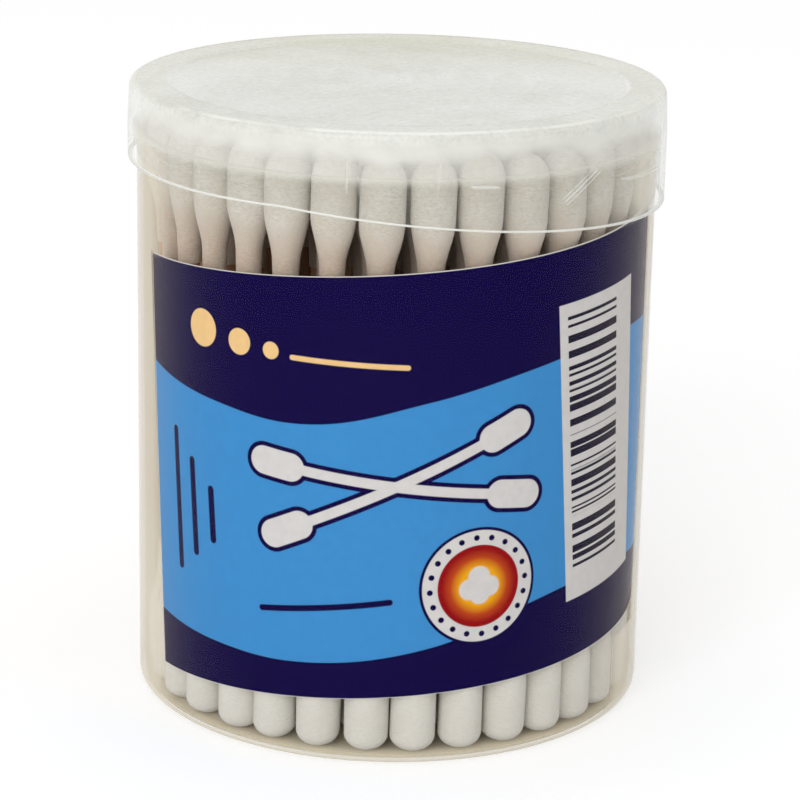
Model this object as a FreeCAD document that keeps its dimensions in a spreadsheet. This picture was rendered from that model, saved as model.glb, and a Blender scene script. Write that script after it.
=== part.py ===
# Cotton swab tub: a clear round tub, a push-on lid, a card label that lines the wall, and a full pack of swabs.
# Millimetres, +Z up. The tub stands on the plane of zero height, its axis is the Z axis, and the front faces -Y.

import FreeCAD
import Part
import math
import os
import Sketcher

# Driving sizes: alias, value, meaning
SIZES = [
    ("tub_radius", 32.0, "outer radius of the tub wall"),
    ("tub_wall", 0.8, "thickness of the tub wall"),
    ("tub_floor", 0.5, "thickness of the tub floor"),
    ("rim_height", 71.6, "height of the tub rim above the ground"),
    ("base_edge_radius", 1.4, "rounding where the wall turns into the base"),
    ("floor_edge_radius", 0.6, "rounding where the wall meets the floor inside"),
    ("rim_edge_radius", 0.25, "rounding of the two edges of the rim"),
    ("bead_stand_out", 0.2, "how far the rim bead stands out from the wall"),
    ("bead_depth", 1.4, "height of the rim bead"),
    ("bead_drop", 0.5, "distance from the rim down to the bead"),
    ("lid_wall", 0.65, "thickness of the lid skirt"),
    ("lid_top_thickness", 0.8, "thickness of the flat panel in the top of the lid"),
    ("lid_panel_radius", 28.0, "radius of the sunken panel in the top of the lid"),
    ("lid_panel_depth", 0.3, "how far the panel lies below the band around it"),
    ("lid_headroom", 4.5, "least height of the space between the rim and the panel"),
    ("lid_swab_gap", 1.8, "least gap between the swabs and the panel"),
    ("lid_clearance", 0.25, "radial clearance between the rim bead and the lid skirt"),
    ("lid_seat_gap", 0.1, "height of the lid ledge above the rim"),
    ("lid_ledge", 0.4, "how far the lid ledge reaches over the rim"),
    ("lid_draft", 0.2, "how much the side of the lid draws in from the ledge to the shoulder"),
    ("lid_shoulder_radius", 0.9, "rounding of the outer edge of the top"),
    ("lid_inner_shoulder_radius", 0.6, "rounding of the inner edge of the top"),
    ("skirt_short_drop", 3.8, "how far the short side of the skirt hangs below the rim"),
    ("skirt_long_drop", 8.2, "how far the thumb side of the skirt hangs below the rim"),
    ("skirt_slant_start", 13.0, "distance left of the axis where the skirt edge starts to slant"),
    ("label_thickness", 0.25, "thickness of the label card"),
    ("label_wall_gap", 0.05, "gap between the label and the tub wall"),
    ("label_width", 88.0, "length of the label around the tub"),
    ("label_height", 51.8, "height of the label"),
    ("label_tilt", 4.4, "angle by which the label sits askew in degrees"),
    ("label_turn", 14.1, "angle from the front to the middle of the label in degrees"),
    ("label_centre_height", 34.95, "height of the middle of the label"),
    ("swab_length", 73.7, "length of a swab over both tips"),
    ("swab_floor_gap", 0.1, "gap between a swab and the tub floor"),
    ("swab_gap", 0.08, "gap between neighbouring swabs and between swabs and label"),
    ("swab_turn", 7.8, "angle from the front to the first swab of the outer ring in degrees"),
    ("stick_diameter", 2.4, "diameter of the wooden stick"),
    ("stick_insert", 12.0, "how far the stick reaches into each cotton tip"),
    ("tip_diameter", 5.5, "largest diameter of a cotton tip"),
    ("tip_root_diameter", 3.2, "diameter of the thin sleeve of cotton where the stick leaves a tip"),
    ("tip_length", 17.0, "length of a cotton tip"),
    ("tip_taper_length", 5.4, "length of the tapered part of a cotton tip"),
    ("tip_sleeve_length", 3.2, "length of the thin sleeve of cotton that follows the taper"),
    ("tip_end_radius", 2.2, "rounding of the free end of a cotton tip"),
]

FULL_TURN = 360
FRONT_ANGLE = 270
CUT_MARGIN = 2.0
MATCH_TOLERANCE = 1e-6
OFFSET_TOLERANCE = 1e-4
FOLDER = "parts"

doc = FreeCAD.newDocument("cotton_swab_tub")
sheet = doc.addObject("Spreadsheet::Sheet", "sizes")


def fill_sheet():
    """Write each driving size into column A of the sheet, under its alias, with its meaning beside it."""
    for row, (alias, number, meaning) in enumerate(SIZES, start=1):
        sheet.set(f"A{row}", str(number))
        sheet.setAlias(f"A{row}", alias)
        sheet.set(f"B{row}", meaning)
    doc.recompute()


def value(formula):
    """Number that a formula over the sheet gives now."""
    return float(sheet.evalExpression(formula))


def size(alias):
    """Number in one cell of the sheet."""
    return float(sheet.get(alias))


def new_body(name):
    """Empty body whose label is its name."""
    body = doc.addObject("PartDesign::Body", name)
    body.Label = name
    return body


def new_sketch(body, name, role):
    """Sketch on one of the body's own origin planes."""
    sketch = body.newObject("Sketcher::SketchObject", name)
    plane = [feature for feature in body.Origin.OriginFeatures if feature.Role == role][0]
    sketch.AttachmentSupport = (plane, [""])
    sketch.MapMode = "FlatFace"
    return sketch


def pin_corner(sketch, line, corner, formulas):
    """Tie the start of a line to its two formulas, or to an axis where the formula is zero."""
    kinds = ("DistanceX", "DistanceY")
    axes = (-2, -1)
    for kind, axis, formula in zip(kinds, axes, formulas):
        if formula == "0":
            sketch.addConstraint(Sketcher.Constraint("PointOnObject", line, 1, axis))
            continue
        pin = sketch.addConstraint(Sketcher.Constraint(kind, line, 1, value(formula)))
        pin_name = f"{kind[-1].lower()}_of_{corner}"
        sketch.renameConstraint(pin, pin_name)
        sketch.setExpression(f"Constraints.{pin_name}", formula)


def draw_outline(sketch, corners):
    """Closed outline of straight lines through named corners, each given as a name and two formulas."""
    points = []
    for corner, across, up in corners:
        points.append(FreeCAD.Vector(value(across), value(up), 0))
    for index, start in enumerate(points):
        end = points[(index + 1) % len(points)]
        sketch.addGeometry(Part.LineSegment(start, end), False)
    for index in range(len(points)):
        sketch.addConstraint(Sketcher.Constraint("Coincident", index, 2, (index + 1) % len(points), 1))
    for index, (corner, across, up) in enumerate(corners):
        pin_corner(sketch, index, corner, (across, up))


def revolve(body, name, corners):
    """Solid of revolution about the Z axis from a half section in the XZ plane."""
    section = new_sketch(body, f"{name}_section", "XZ_Plane")
    draw_outline(section, corners)
    feature = body.newObject("PartDesign::Revolution", name)
    feature.Profile = section
    feature.ReferenceAxis = (section, ["V_Axis"])
    feature.Angle = FULL_TURN
    doc.recompute()
    return feature


def circle_edges(feature, radius, height):
    """Names of the circular edges about the Z axis with this radius at this height."""
    names = []
    for number, edge in enumerate(feature.Shape.Edges, start=1):
        if not isinstance(edge.Curve, Part.Circle):
            continue
        same_radius = abs(edge.Curve.Radius - radius) < MATCH_TOLERANCE
        same_height = abs(edge.Curve.Center.z - height) < MATCH_TOLERANCE
        if same_radius and same_height:
            names.append(f"Edge{number}")
    if not names:
        raise ValueError(f"no circular edge of radius {radius} at height {height} on {feature.Label}")
    return names


def round_edges(body, name, base, circles, alias):
    """Fillet the circular edges given as (radius formula, height formula) with the radius in the sheet."""
    edges = []
    for radius, height in circles:
        edges += circle_edges(base, value(radius), value(height))
    fillet = body.newObject("PartDesign::Fillet", name)
    fillet.Base = (base, edges)
    fillet.setExpression("Radius", f"sizes.{alias}")
    doc.recompute()
    return fillet


def make_tub():
    """Clear tub: straight wall, flat floor and a bead below the rim that the lid slides over."""
    body = new_body("tub_body")
    inner = "sizes.tub_radius - sizes.tub_wall"
    bead = "sizes.tub_radius + sizes.bead_stand_out"
    bead_top = "sizes.rim_height - sizes.bead_drop"
    bead_foot = "sizes.rim_height - sizes.bead_drop - sizes.bead_depth"
    tub = revolve(body, "tub_shell", [
        ("base_centre", "0", "0"),
        ("base_edge", "sizes.tub_radius", "0"),
        ("bead_foot", "sizes.tub_radius", bead_foot),
        ("bead_low", bead, f"{bead_foot} + sizes.bead_stand_out"),
        ("bead_high", bead, f"{bead_top} - sizes.bead_stand_out"),
        ("bead_top", "sizes.tub_radius", bead_top),
        ("rim_outside", "sizes.tub_radius", "sizes.rim_height"),
        ("rim_inside", inner, "sizes.rim_height"),
        ("floor_edge", inner, "sizes.tub_floor"),
        ("floor_centre", "0", "sizes.tub_floor"),
    ])
    based = round_edges(body, "base_edge", tub, [("sizes.tub_radius", "0")], "base_edge_radius")
    floored = round_edges(body, "floor_edge", based, [(inner, "sizes.tub_floor")], "floor_edge_radius")
    rim = [("sizes.tub_radius", "sizes.rim_height"), (inner, "sizes.rim_height")]
    round_edges(body, "rim_edges", floored, rim, "rim_edge_radius")
    return body


def make_lid():
    """Frosted lid: sunken top panel, rounded shoulder, ledge over the rim, skirt with a slanted lower edge."""
    body = new_body("lid")
    skirt_inside = "sizes.tub_radius + sizes.bead_stand_out + sizes.lid_clearance"
    skirt_outside = f"{skirt_inside} + sizes.lid_wall"
    side_top = f"{skirt_outside} - sizes.lid_draft"
    ledge_inside = "sizes.tub_radius - sizes.lid_ledge"
    ledge_height = "sizes.rim_height + sizes.lid_seat_gap"
    swab_top = "sizes.tub_floor + sizes.swab_floor_gap + sizes.swab_length"
    underside = f"max(sizes.rim_height + sizes.lid_headroom; {swab_top} + sizes.lid_swab_gap)"
    panel = f"{underside} + sizes.lid_top_thickness"
    top = f"{panel} + sizes.lid_panel_depth"
    skirt_end = "sizes.rim_height - sizes.skirt_long_drop"
    shell = revolve(body, "lid_shell", [
        ("underside_centre", "0", underside),
        ("underside_edge", ledge_inside, underside),
        ("ledge_inside", ledge_inside, ledge_height),
        ("ledge_outside", skirt_inside, ledge_height),
        ("skirt_inside", skirt_inside, skirt_end),
        ("skirt_outside", skirt_outside, skirt_end),
        ("side_foot", skirt_outside, ledge_height),
        ("side_top", side_top, top),
        ("band_inside", "sizes.lid_panel_radius + sizes.lid_panel_depth", top),
        ("panel_edge", "sizes.lid_panel_radius", panel),
        ("panel_centre", "0", panel),
    ])
    shouldered = round_edges(body, "shoulder", shell, [(side_top, top)], "lid_shoulder_radius")
    hollow = round_edges(body, "inner_shoulder", shouldered, [(ledge_inside, underside)],
                         "lid_inner_shoulder_radius")

    slant = new_sketch(body, "skirt_slant_outline", "XZ_Plane")
    beyond = f"{skirt_outside} + {CUT_MARGIN}"
    short_edge = "sizes.rim_height - sizes.skirt_short_drop"
    slope = f"({short_edge} - ({skirt_end})) / ({skirt_outside} + sizes.skirt_slant_start)"
    draw_outline(slant, [
        ("below_left", f"-({beyond})", f"{skirt_end} - {CUT_MARGIN}"),
        ("below_right", beyond, f"{skirt_end} - {CUT_MARGIN}"),
        ("right_edge", beyond, f"{skirt_end} - {CUT_MARGIN} * {slope}"),
        ("slant_start", "-sizes.skirt_slant_start", short_edge),
        ("left_edge", f"-({beyond})", short_edge),
    ])
    cut = body.newObject("PartDesign::Pocket", "skirt_slant")
    cut.Profile = slant
    cut.Type = "ThroughAll"
    cut.Midplane = True
    doc.recompute()
    if cut.Shape.Volume >= hollow.Shape.Volume:
        raise ValueError("the slanted cut takes nothing off the lid skirt")
    return body


def make_label():
    """Label card: a rectangle bent to the wall, thin towards the axis, and askew by a few degrees."""
    outside = size("tub_radius") - size("tub_wall") - size("label_wall_gap")
    wall = Part.makeCylinder(outside, size("rim_height")).Faces[0].Surface
    tilt = math.radians(size("label_tilt"))
    middle = math.radians(FRONT_ANGLE + size("label_turn"))
    corners = []
    for across, up in ((-0.5, -0.5), (0.5, -0.5), (0.5, 0.5), (-0.5, 0.5)):
        along = across * size("label_width")
        rise = up * size("label_height")
        turned = along * math.cos(tilt) - rise * math.sin(tilt)
        raised = along * math.sin(tilt) + rise * math.cos(tilt)
        corners.append(FreeCAD.Base.Vector2d(middle + turned / outside, size("label_centre_height") + raised))
    edges = []
    for start, end in zip(corners, corners[1:] + corners[:1]):
        edges.append(Part.Geom2d.Line2dSegment(start, end).toShape(wall))
    face = Part.Face(wall, Part.Wire(edges))
    face.validate()
    label = doc.addObject("Part::Feature", "label_insert")
    label.Label = "label_insert"
    label.Shape = face.makeOffsetShape(-size("label_thickness"), OFFSET_TOLERANCE, fill=True)
    label.Placement = FreeCAD.Placement()
    return label


def make_stick():
    """Wooden stick: a plain rod that ends inside both cotton tips."""
    body = new_body("stick")
    outline = new_sketch(body, "stick_outline", "XY_Plane")
    circle = Part.Circle(FreeCAD.Vector(), FreeCAD.Vector(0, 0, 1), value("sizes.stick_diameter / 2"))
    outline.addGeometry(circle, False)
    outline.addConstraint(Sketcher.Constraint("Coincident", 0, 3, -1, 1))
    width = outline.addConstraint(Sketcher.Constraint("Diameter", 0, value("sizes.stick_diameter")))
    outline.renameConstraint(width, "stick_width")
    outline.setExpression("Constraints.stick_width", "sizes.stick_diameter")
    rod = body.newObject("PartDesign::Pad", "rod")
    rod.Profile = outline
    buried = "sizes.tip_length - sizes.stick_insert"
    rod.setExpression("Length", f"sizes.swab_length - 2 * ({buried})")
    body.setExpression(".Placement.Base.z", f"sizes.tub_floor + sizes.swab_floor_gap + {buried}")
    doc.recompute()
    return body


def make_tip():
    """Cotton tip, free end down: rounded end, full part, taper, thin sleeve and a blind hole for the stick."""
    body = new_body("cotton_tip")
    sleeve_start = "sizes.tip_length - sizes.tip_sleeve_length"
    taper_start = f"{sleeve_start} - sizes.tip_taper_length"
    hole_end = "sizes.tip_length - sizes.stick_insert"
    wound = revolve(body, "wound_cotton", [
        ("free_end", "0", "0"),
        ("end_edge", "sizes.tip_diameter / 2", "0"),
        ("taper_start", "sizes.tip_diameter / 2", taper_start),
        ("sleeve_start", "sizes.tip_root_diameter / 2", sleeve_start),
        ("root_outside", "sizes.tip_root_diameter / 2", "sizes.tip_length"),
        ("root_inside", "sizes.stick_diameter / 2", "sizes.tip_length"),
        ("hole_edge", "sizes.stick_diameter / 2", hole_end),
        ("hole_centre", "0", hole_end),
    ])
    round_edges(body, "free_end_round", wound, [("sizes.tip_diameter / 2", "0")], "tip_end_radius")
    body.setExpression(".Placement.Base.z", "sizes.tub_floor + sizes.swab_floor_gap")
    doc.recompute()
    return body


def make_swab(stick, tip):
    """One whole swab on the axis: the stick with a tip on each end, the upper one turned over."""
    upper = doc.addObject("App::Link", "upper_tip")
    upper.LinkedObject = tip
    height = value("sizes.tub_floor + sizes.swab_floor_gap + sizes.swab_length")
    over = FreeCAD.Rotation(FreeCAD.Vector(1, 0, 0), FULL_TURN / 2)
    upper.Placement = FreeCAD.Placement(FreeCAD.Vector(0, 0, height), over)
    swab = doc.addObject("Part::Compound", "whole_swab")
    swab.Links = [stick, tip, upper]
    doc.recompute()
    return swab


def place_swab(swab, name, radius, angle):
    """Copy of the whole swab, standing at this radius and angle from the front."""
    copy = doc.addObject("App::Link", name)
    copy.Label = name
    copy.LinkedObject = swab
    turn = math.radians(FRONT_ANGLE + angle)
    place = FreeCAD.Vector(radius * math.cos(turn), radius * math.sin(turn), 0)
    copy.Placement = FreeCAD.Placement(place, FreeCAD.Rotation())
    return copy


def ring_count(radius, pitch):
    """Most swabs that stand side by side in a ring of this radius."""
    return math.floor(math.pi / math.asin(pitch / 2 / radius))


def make_pack(swab):
    """Rings of swabs from the label inwards: the outer ring one by one, each inner ring as one group."""
    pitch = value("sizes.tip_diameter + sizes.swab_gap")
    lining = "sizes.label_wall_gap + sizes.label_thickness + sizes.swab_gap"
    radius = value(f"sizes.tub_radius - sizes.tub_wall - ({lining}) - sizes.tip_diameter / 2")
    pack = []
    ring = 1
    while radius >= pitch:
        count = ring_count(radius, pitch)
        names = [f"swab_{number:02d}" for number in range(1, count + 1)]
        if ring > 1:
            names = [f"ring_{ring}_swab_{number:02d}" for number in range(1, count + 1)]
        copies = []
        for number, name in enumerate(names):
            copies.append(place_swab(swab, name, radius, size("swab_turn") + number * FULL_TURN / count))
        if ring == 1:
            pack += copies
        else:
            group = doc.addObject("Part::Compound", f"swab_ring_{ring}")
            group.Label = f"swab_ring_{ring}"
            group.Links = copies
            pack.append(group)
        inner_radius = radius
        radius -= pitch
        ring += 1
    if inner_radius >= pitch:
        pack.append(place_swab(swab, "swab_centre", 0, 0))
    doc.recompute()
    return pack


def check_document():
    """Stop if any object of the document failed to recompute."""
    for item in doc.Objects:
        if "Invalid" in item.State or "Error" in item.State:
            raise ValueError(f"{item.Label} is in state {item.State}")


def export_parts(parts):
    """Write each part as its own STEP file, named after its label, once all their shapes are sound."""
    shapes = {}
    for part in parts:
        shape = Part.getShape(part)
        if shape.isNull() or not shape.isValid() or not shape.Solids:
            raise ValueError(f"{part.Label} has no valid solid")
        shapes[part.Label] = shape
    os.makedirs(FOLDER, exist_ok=True)
    for name, shape in shapes.items():
        shape.exportStep(os.path.join(FOLDER, f"{name}.step"))
        print(f"{name}: {len(shape.Solids)} solids, {shape.Volume:.1f} mm3")


def main():
    """Build every piece, test the document and write the files."""
    fill_sheet()
    tub = make_tub()
    lid = make_lid()
    label = make_label()
    swab = make_swab(make_stick(), make_tip())
    pack = make_pack(swab)
    doc.recompute()
    check_document()
    export_parts([tub, lid, label] + pack)


main()
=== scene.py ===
# Looks of the cotton swab tub: clear wall, milky lid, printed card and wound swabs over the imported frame.
# Metres, +Z up, front towards -Y. Every piece sits at the origin with its place in its mesh.

import math
import bpy
import numpy as np
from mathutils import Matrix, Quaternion, Vector


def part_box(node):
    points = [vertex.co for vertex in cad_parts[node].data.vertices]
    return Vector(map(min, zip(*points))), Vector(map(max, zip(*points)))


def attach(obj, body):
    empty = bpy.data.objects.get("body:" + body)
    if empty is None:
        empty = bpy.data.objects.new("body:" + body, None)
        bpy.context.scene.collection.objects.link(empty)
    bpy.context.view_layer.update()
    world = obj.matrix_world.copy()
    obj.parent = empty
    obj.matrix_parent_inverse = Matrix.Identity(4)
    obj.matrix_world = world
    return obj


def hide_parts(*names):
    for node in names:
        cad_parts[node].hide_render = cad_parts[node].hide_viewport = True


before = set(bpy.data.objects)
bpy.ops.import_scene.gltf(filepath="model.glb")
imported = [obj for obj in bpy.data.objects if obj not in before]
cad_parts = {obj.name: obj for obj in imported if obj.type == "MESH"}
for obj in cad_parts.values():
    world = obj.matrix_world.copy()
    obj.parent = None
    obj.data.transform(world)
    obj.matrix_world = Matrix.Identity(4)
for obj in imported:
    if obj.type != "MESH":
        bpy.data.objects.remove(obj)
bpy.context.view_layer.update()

bl_info = {
    "name": "Cotton Swab Tub Looks",
    "version": (1, 0, 0),
    "blender": (4, 5, 0),
    "location": "3D View > Sidebar > Swab Tub",
    "description": "Builds the tub, lid, label, swabs and studio stage",
    "category": "Object",
}

MM = 0.001

# Steps of the grids: round the tub and the lid, along and up the label, along and round a tip
TUB_COLUMNS = 192
LID_COLUMNS = 224
LABEL_STEPS = (177, 53)
FRONT_TIP_STEPS = (21, 26)
INNER_TIP_STEPS = (12, 14)

# Slow waves on a tip: share of the radius, waves round the tip, phase gained along the tip
TIP_WAVES = ((0.010, 2, 3), (0.008, 3, -9), (0.014, 0, 11), (0.006, 1, 24))

# Lamps: place and size in metres
KEY_LAMP = ((-0.3, -0.85, 0.42), (0.6, 0.6))
LEFT_WINDOW = ((-0.54, 0.24, 0.06), (0.12, 0.09))
RIGHT_WINDOW = ((0.52, 0.27, 0.07), (0.2, 0.11))
FLOOR_SHINE = 0.34


def length(name, description, default):
    """Length property in metres, given in millimetres."""
    return bpy.props.FloatProperty(name=name, description=description, default=default * MM, min=0,
                                   precision=5, subtype="DISTANCE", unit="LENGTH")


def angle(name, description, default):
    """Angle property, given in degrees."""
    return bpy.props.FloatProperty(name=name, description=description, default=math.radians(default),
                                   subtype="ANGLE", unit="ROTATION")


def share(name, description, default, top=1.0):
    """Plain number property between zero and its top."""
    return bpy.props.FloatProperty(name=name, description=description, default=default, min=0, max=top,
                                   subtype="FACTOR")


def colour(name, description, red, green, blue):
    """Colour property, given as three screen values from 0 to 255."""
    screen = np.array((red, green, blue)) / 255
    linear = np.where(screen <= 0.04045, screen / 12.92, ((screen + 0.055) / 1.055) ** 2.4)
    return bpy.props.FloatVectorProperty(name=name, description=description, default=linear.tolist(),
                                         size=3, min=0, max=1, subtype="COLOR")


def pointer(kind, name, description):
    """Pointer to a group of settings."""
    return bpy.props.PointerProperty(type=kind, name=name, description=description)


class TubShape(bpy.types.PropertyGroup):
    """Sizes of the clear tub."""
    radius: length("Radius", "Outer radius of the wall", 32.0)
    wall: length("Wall", "Thickness of the wall", 0.8)
    floor: length("Floor", "Thickness of the floor", 0.5)
    rim_height: length("Rim height", "Height of the rim above the ground", 71.6)
    base_round: length("Base rounding", "Rounding where the wall turns into the base", 1.4)
    floor_round: length("Floor rounding", "Rounding where the wall meets the floor inside", 0.6)
    rim_round: length("Rim rounding", "Rounding of both edges of the rim", 0.25)
    bead_stand_out: length("Bead stand-out", "How far the rim bead stands out", 0.2)
    bead_depth: length("Bead depth", "Height of the rim bead", 1.4)
    bead_drop: length("Bead drop", "Distance from the rim down to the bead", 0.5)


class LidShape(bpy.types.PropertyGroup):
    """Sizes of the push-on lid."""
    skirt_inside: length("Skirt inside", "Inner radius of the skirt", 32.45)
    wall: length("Wall", "Thickness of the skirt", 0.65)
    draft: length("Draft", "How much the side draws in towards the shoulder", 0.2)
    ledge_radius: length("Ledge radius", "Inner radius above the ledge", 31.6)
    ledge_height: length("Ledge height", "Height of the ledge over the rim", 71.7)
    underside: length("Underside", "Height of the flat underside", 76.1)
    top: length("Top", "Height of the band round the top", 77.2)
    panel_radius: length("Panel radius", "Radius of the sunken panel in the top", 28.0)
    panel_depth: length("Panel depth", "How far the panel lies below the band", 0.3)
    shoulder: length("Shoulder", "Rounding of the outer edge of the top", 0.9)
    inner_shoulder: length("Inner shoulder", "Rounding of the inner edge of the top", 0.6)
    edge_round: length("Edge rounding", "Rounding of the skirt's lower edge", 0.2)
    short_edge: length("Short edge", "Height of the level part of the skirt edge", 67.8)
    long_edge: length("Long edge", "Height of the lowest point of the skirt edge", 63.4)
    slant_start: length("Slant start", "Distance left of the axis where the edge starts to slant", 13.0)


class LabelShape(bpy.types.PropertyGroup):
    """Sizes and place of the label card."""
    radius: length("Radius", "Radius of the printed face", 31.15)
    thickness: length("Thickness", "Thickness of the card", 0.25)
    width: length("Width", "Length of the card around the tub", 88.0)
    height: length("Height", "Height of the card", 51.8)
    middle: length("Middle", "Height of the middle of the card", 34.95)
    tilt: angle("Tilt", "Angle by which the card sits askew", 4.4)
    turn: angle("Turn", "Angle from the front to the middle of the card", 14.1)


class SwabShape(bpy.types.PropertyGroup):
    """Sizes of the swabs and how much they differ."""
    foot: length("Foot", "Height of the lower ends", 0.6)
    length: length("Length", "Length over both tips", 73.7)
    tip_radius: length("Tip radius", "Largest radius of a tip", 2.76)
    neck_radius: length("Neck radius", "Radius of the thin sleeve that ends a tip", 1.6)
    tip_length: length("Tip length", "Length of a tip", 17.0)
    dome: length("Dome", "Length of the rounded upper end", 3.3)
    flat_dome: length("Flat dome", "Length of the lower end, which the tub floor presses flatter", 1.9)
    full_part: length("Full part", "Length of the full part, dome included", 7.4)
    sleeve: length("Sleeve", "Length of the thin sleeve that ends a tip", 3.0)
    stick_radius: length("Stick radius", "Radius of the stick", 1.2)
    ring_step: length("Ring step", "Distance between two rings, and between neighbours", 5.58)
    shorter: length("Shorter", "Most that a swab falls short of the full length", 1.3)
    upper_lean: angle("Upper lean", "How far the upper tips stand round to the right", 1.3)
    lower_lean: angle("Lower lean", "How far the lower tips stand round to the left", 1.4)
    wander: angle("Wander", "Most that one swab strays from its lean", 0.5)
    seed: bpy.props.IntProperty(name="Seed", description="Number that sets the small differences", default=7)


class Finish(bpy.types.PropertyGroup):
    """Colours of the finishes."""
    # The tub colour is also the colour of the painted light past the label's ends.
    tub: colour("Tub", "Clear wall seen edge-on", 225, 214, 189)
    lid: colour("Lid", "Milky plastic of the lid", 245, 246, 240)
    # Painted shade: the lid turns to this duller colour round its top and towards its back.
    lid_painted_shade: colour("Lid band", "Duller plastic round the lid and towards its back", 224, 224, 206)
    navy: colour("Navy", "Dark field of the print", 13, 2, 64)
    blue: colour("Blue", "Light field of the print", 64, 143, 206)
    card: colour("Card", "Bare card", 238, 236, 230)
    white: colour("White", "White print", 215, 212, 210)
    cream: colour("Cream", "Pale warm print", 240, 200, 140)
    glow: colour("Glow", "Middle of the badge", 240, 170, 26)
    ember: colour("Ember", "Edge of the badge", 150, 12, 20)
    cotton: colour("Cotton", "Wound cotton", 226, 222, 211)
    # The sleeve colour is partly the stick through thin cotton, partly painted shade between the tips.
    sleeve: colour("Sleeve", "Thin cotton that lets the stick show through", 196, 162, 138)
    wood: colour("Wood", "Sticks", 190, 142, 102)
    tub_haze: share("Tub haze", "How much the wall hides seen straight on", 0.003)
    lid_haze: share("Lid haze", "How much the top of the lid hides", 0.52)
    shoulder_haze: share("Shoulder haze", "How much the side of the lid hides above the rim", 0.24)
    skirt_haze: share("Skirt haze", "How much the skirt hides below the rim", 0.035)


class Stage(bpy.types.PropertyGroup):
    """Camera and light."""
    distance: length("Distance", "From the camera to its target", 375.06)
    target: length("Target", "Height of the target on the axis", 38.0)
    elevation: angle("Elevation", "How far the camera looks down", 16.559)
    roll: angle("Roll", "Turn of the camera about its view line", 1.09)
    lens: bpy.props.FloatProperty(name="Lens", description="Focal length in millimetres", default=133.62)
    shift_x: bpy.props.FloatProperty(name="Shift across", description="Sideways shift of the frame",
                                     default=0.0095)
    shift_y: bpy.props.FloatProperty(name="Shift up", description="Upward shift of the frame",
                                     default=-0.0186)
    sky: share("Sky", "Strength of the even light from all round", 0.71, 5)
    key: share("Key", "Power of the large lamp in watts", 3.5, 100)
    window: share("Window", "Power of each small lamp in watts", 0.1, 100)


class SwabTub(bpy.types.PropertyGroup):
    """All settings of the swab tub."""
    tub: pointer(TubShape, "Tub", "Sizes of the tub")
    lid: pointer(LidShape, "Lid", "Sizes of the lid")
    label: pointer(LabelShape, "Label", "Sizes of the label")
    swab: pointer(SwabShape, "Swab", "Sizes of the swabs")
    finish: pointer(Finish, "Finish", "Colours")
    stage: pointer(Stage, "Stage", "Camera and light")


# Surfaces

def arc(middle, radius, start, end, steps=7):
    """Points on a circle about a middle point, from the start to the end angle in degrees, in equal steps."""
    turn = np.radians(np.linspace(start, end, steps))
    return np.column_stack((middle[0] + radius * np.cos(turn), middle[1] + radius * np.sin(turn)))


def add_supports(profile, reach=0.4 * MM):
    """Profile with a point near each end of its long straight runs, so that their shading stays flat."""
    start = profile[:-1]
    run = profile[1:] - start
    span = np.linalg.norm(run[:, :2], axis=1, keepdims=True)
    part = reach / np.maximum(span, reach)
    trio = np.stack((start, start + run * part, start + run * (1 - part)), axis=1)
    keep = np.ones(trio.shape[:2], bool)
    keep[:, 1:] = span > 4 * reach
    return np.vstack((trio[keep], profile[-1:]))


def wheel(profile, columns):
    """Rings of points: each radius r and height z of the profile goes round to (r cos t, r sin t, z)."""
    turn = np.linspace(0.5 * np.pi, 2.5 * np.pi, columns, endpoint=False)
    across = profile[:, :1] * np.cos(turn)
    along = profile[:, :1] * np.sin(turn)
    up = np.broadcast_to(profile[:, 1:2], across.shape)
    return np.stack((across, along, up), axis=-1)


def shells(rings):
    """Points, quads and triangles of closed shells: quads between rings, a fan at each pole."""
    count, rows, columns = rings.shape[:3]
    body = rings[:, 1:-1].reshape(count, -1, rings.shape[-1])
    points = np.concatenate((body, rings[:, [0, -1], 0]), axis=1)
    index = np.arange((rows - 2) * columns).reshape(rows - 2, columns)
    after = np.roll(index, -1, axis=1)
    first = np.full(columns, index.size)
    quads = np.stack((index[:-1], after[:-1], after[1:], index[1:]), axis=-1).reshape(-1, 4)
    fans = np.vstack((np.column_stack((first, after[0], index[0])),
                      np.column_stack((first + 1, index[-1], after[-1]))))
    offset = (np.arange(count) * points.shape[1])[:, None, None]
    all_points = points.reshape(-1, rings.shape[-1])
    return all_points, (quads + offset).reshape(-1, 4), (fans + offset).reshape(-1, 3)


def tub_profile(tub):
    """Half section of the tub, from the middle of the base round the wall to the middle of the floor."""
    inner = tub.radius - tub.wall
    bead = tub.radius + tub.bead_stand_out
    bead_top = tub.rim_height - tub.bead_drop
    bead_foot = bead_top - tub.bead_depth
    rim_arc = tub.rim_height - tub.rim_round
    return np.vstack((
        [(0, 0)],
        arc((tub.radius - tub.base_round, tub.base_round), tub.base_round, -90, 0),
        [(tub.radius, bead_foot)],
        arc((bead - tub.bead_stand_out, bead_foot + tub.bead_stand_out), tub.bead_stand_out, -60, 0, 4),
        arc((bead - tub.bead_stand_out, bead_top - tub.bead_stand_out), tub.bead_stand_out, 0, 60, 4),
        [(tub.radius, bead_top)],
        arc((tub.radius - tub.rim_round, rim_arc), tub.rim_round, 0, 90, 4),
        arc((inner + tub.rim_round, rim_arc), tub.rim_round, 90, 180, 4),
        arc((inner - tub.floor_round, tub.floor + tub.floor_round), tub.floor_round, 0, -90, 5),
        [(0, tub.floor)],
    ))


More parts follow.
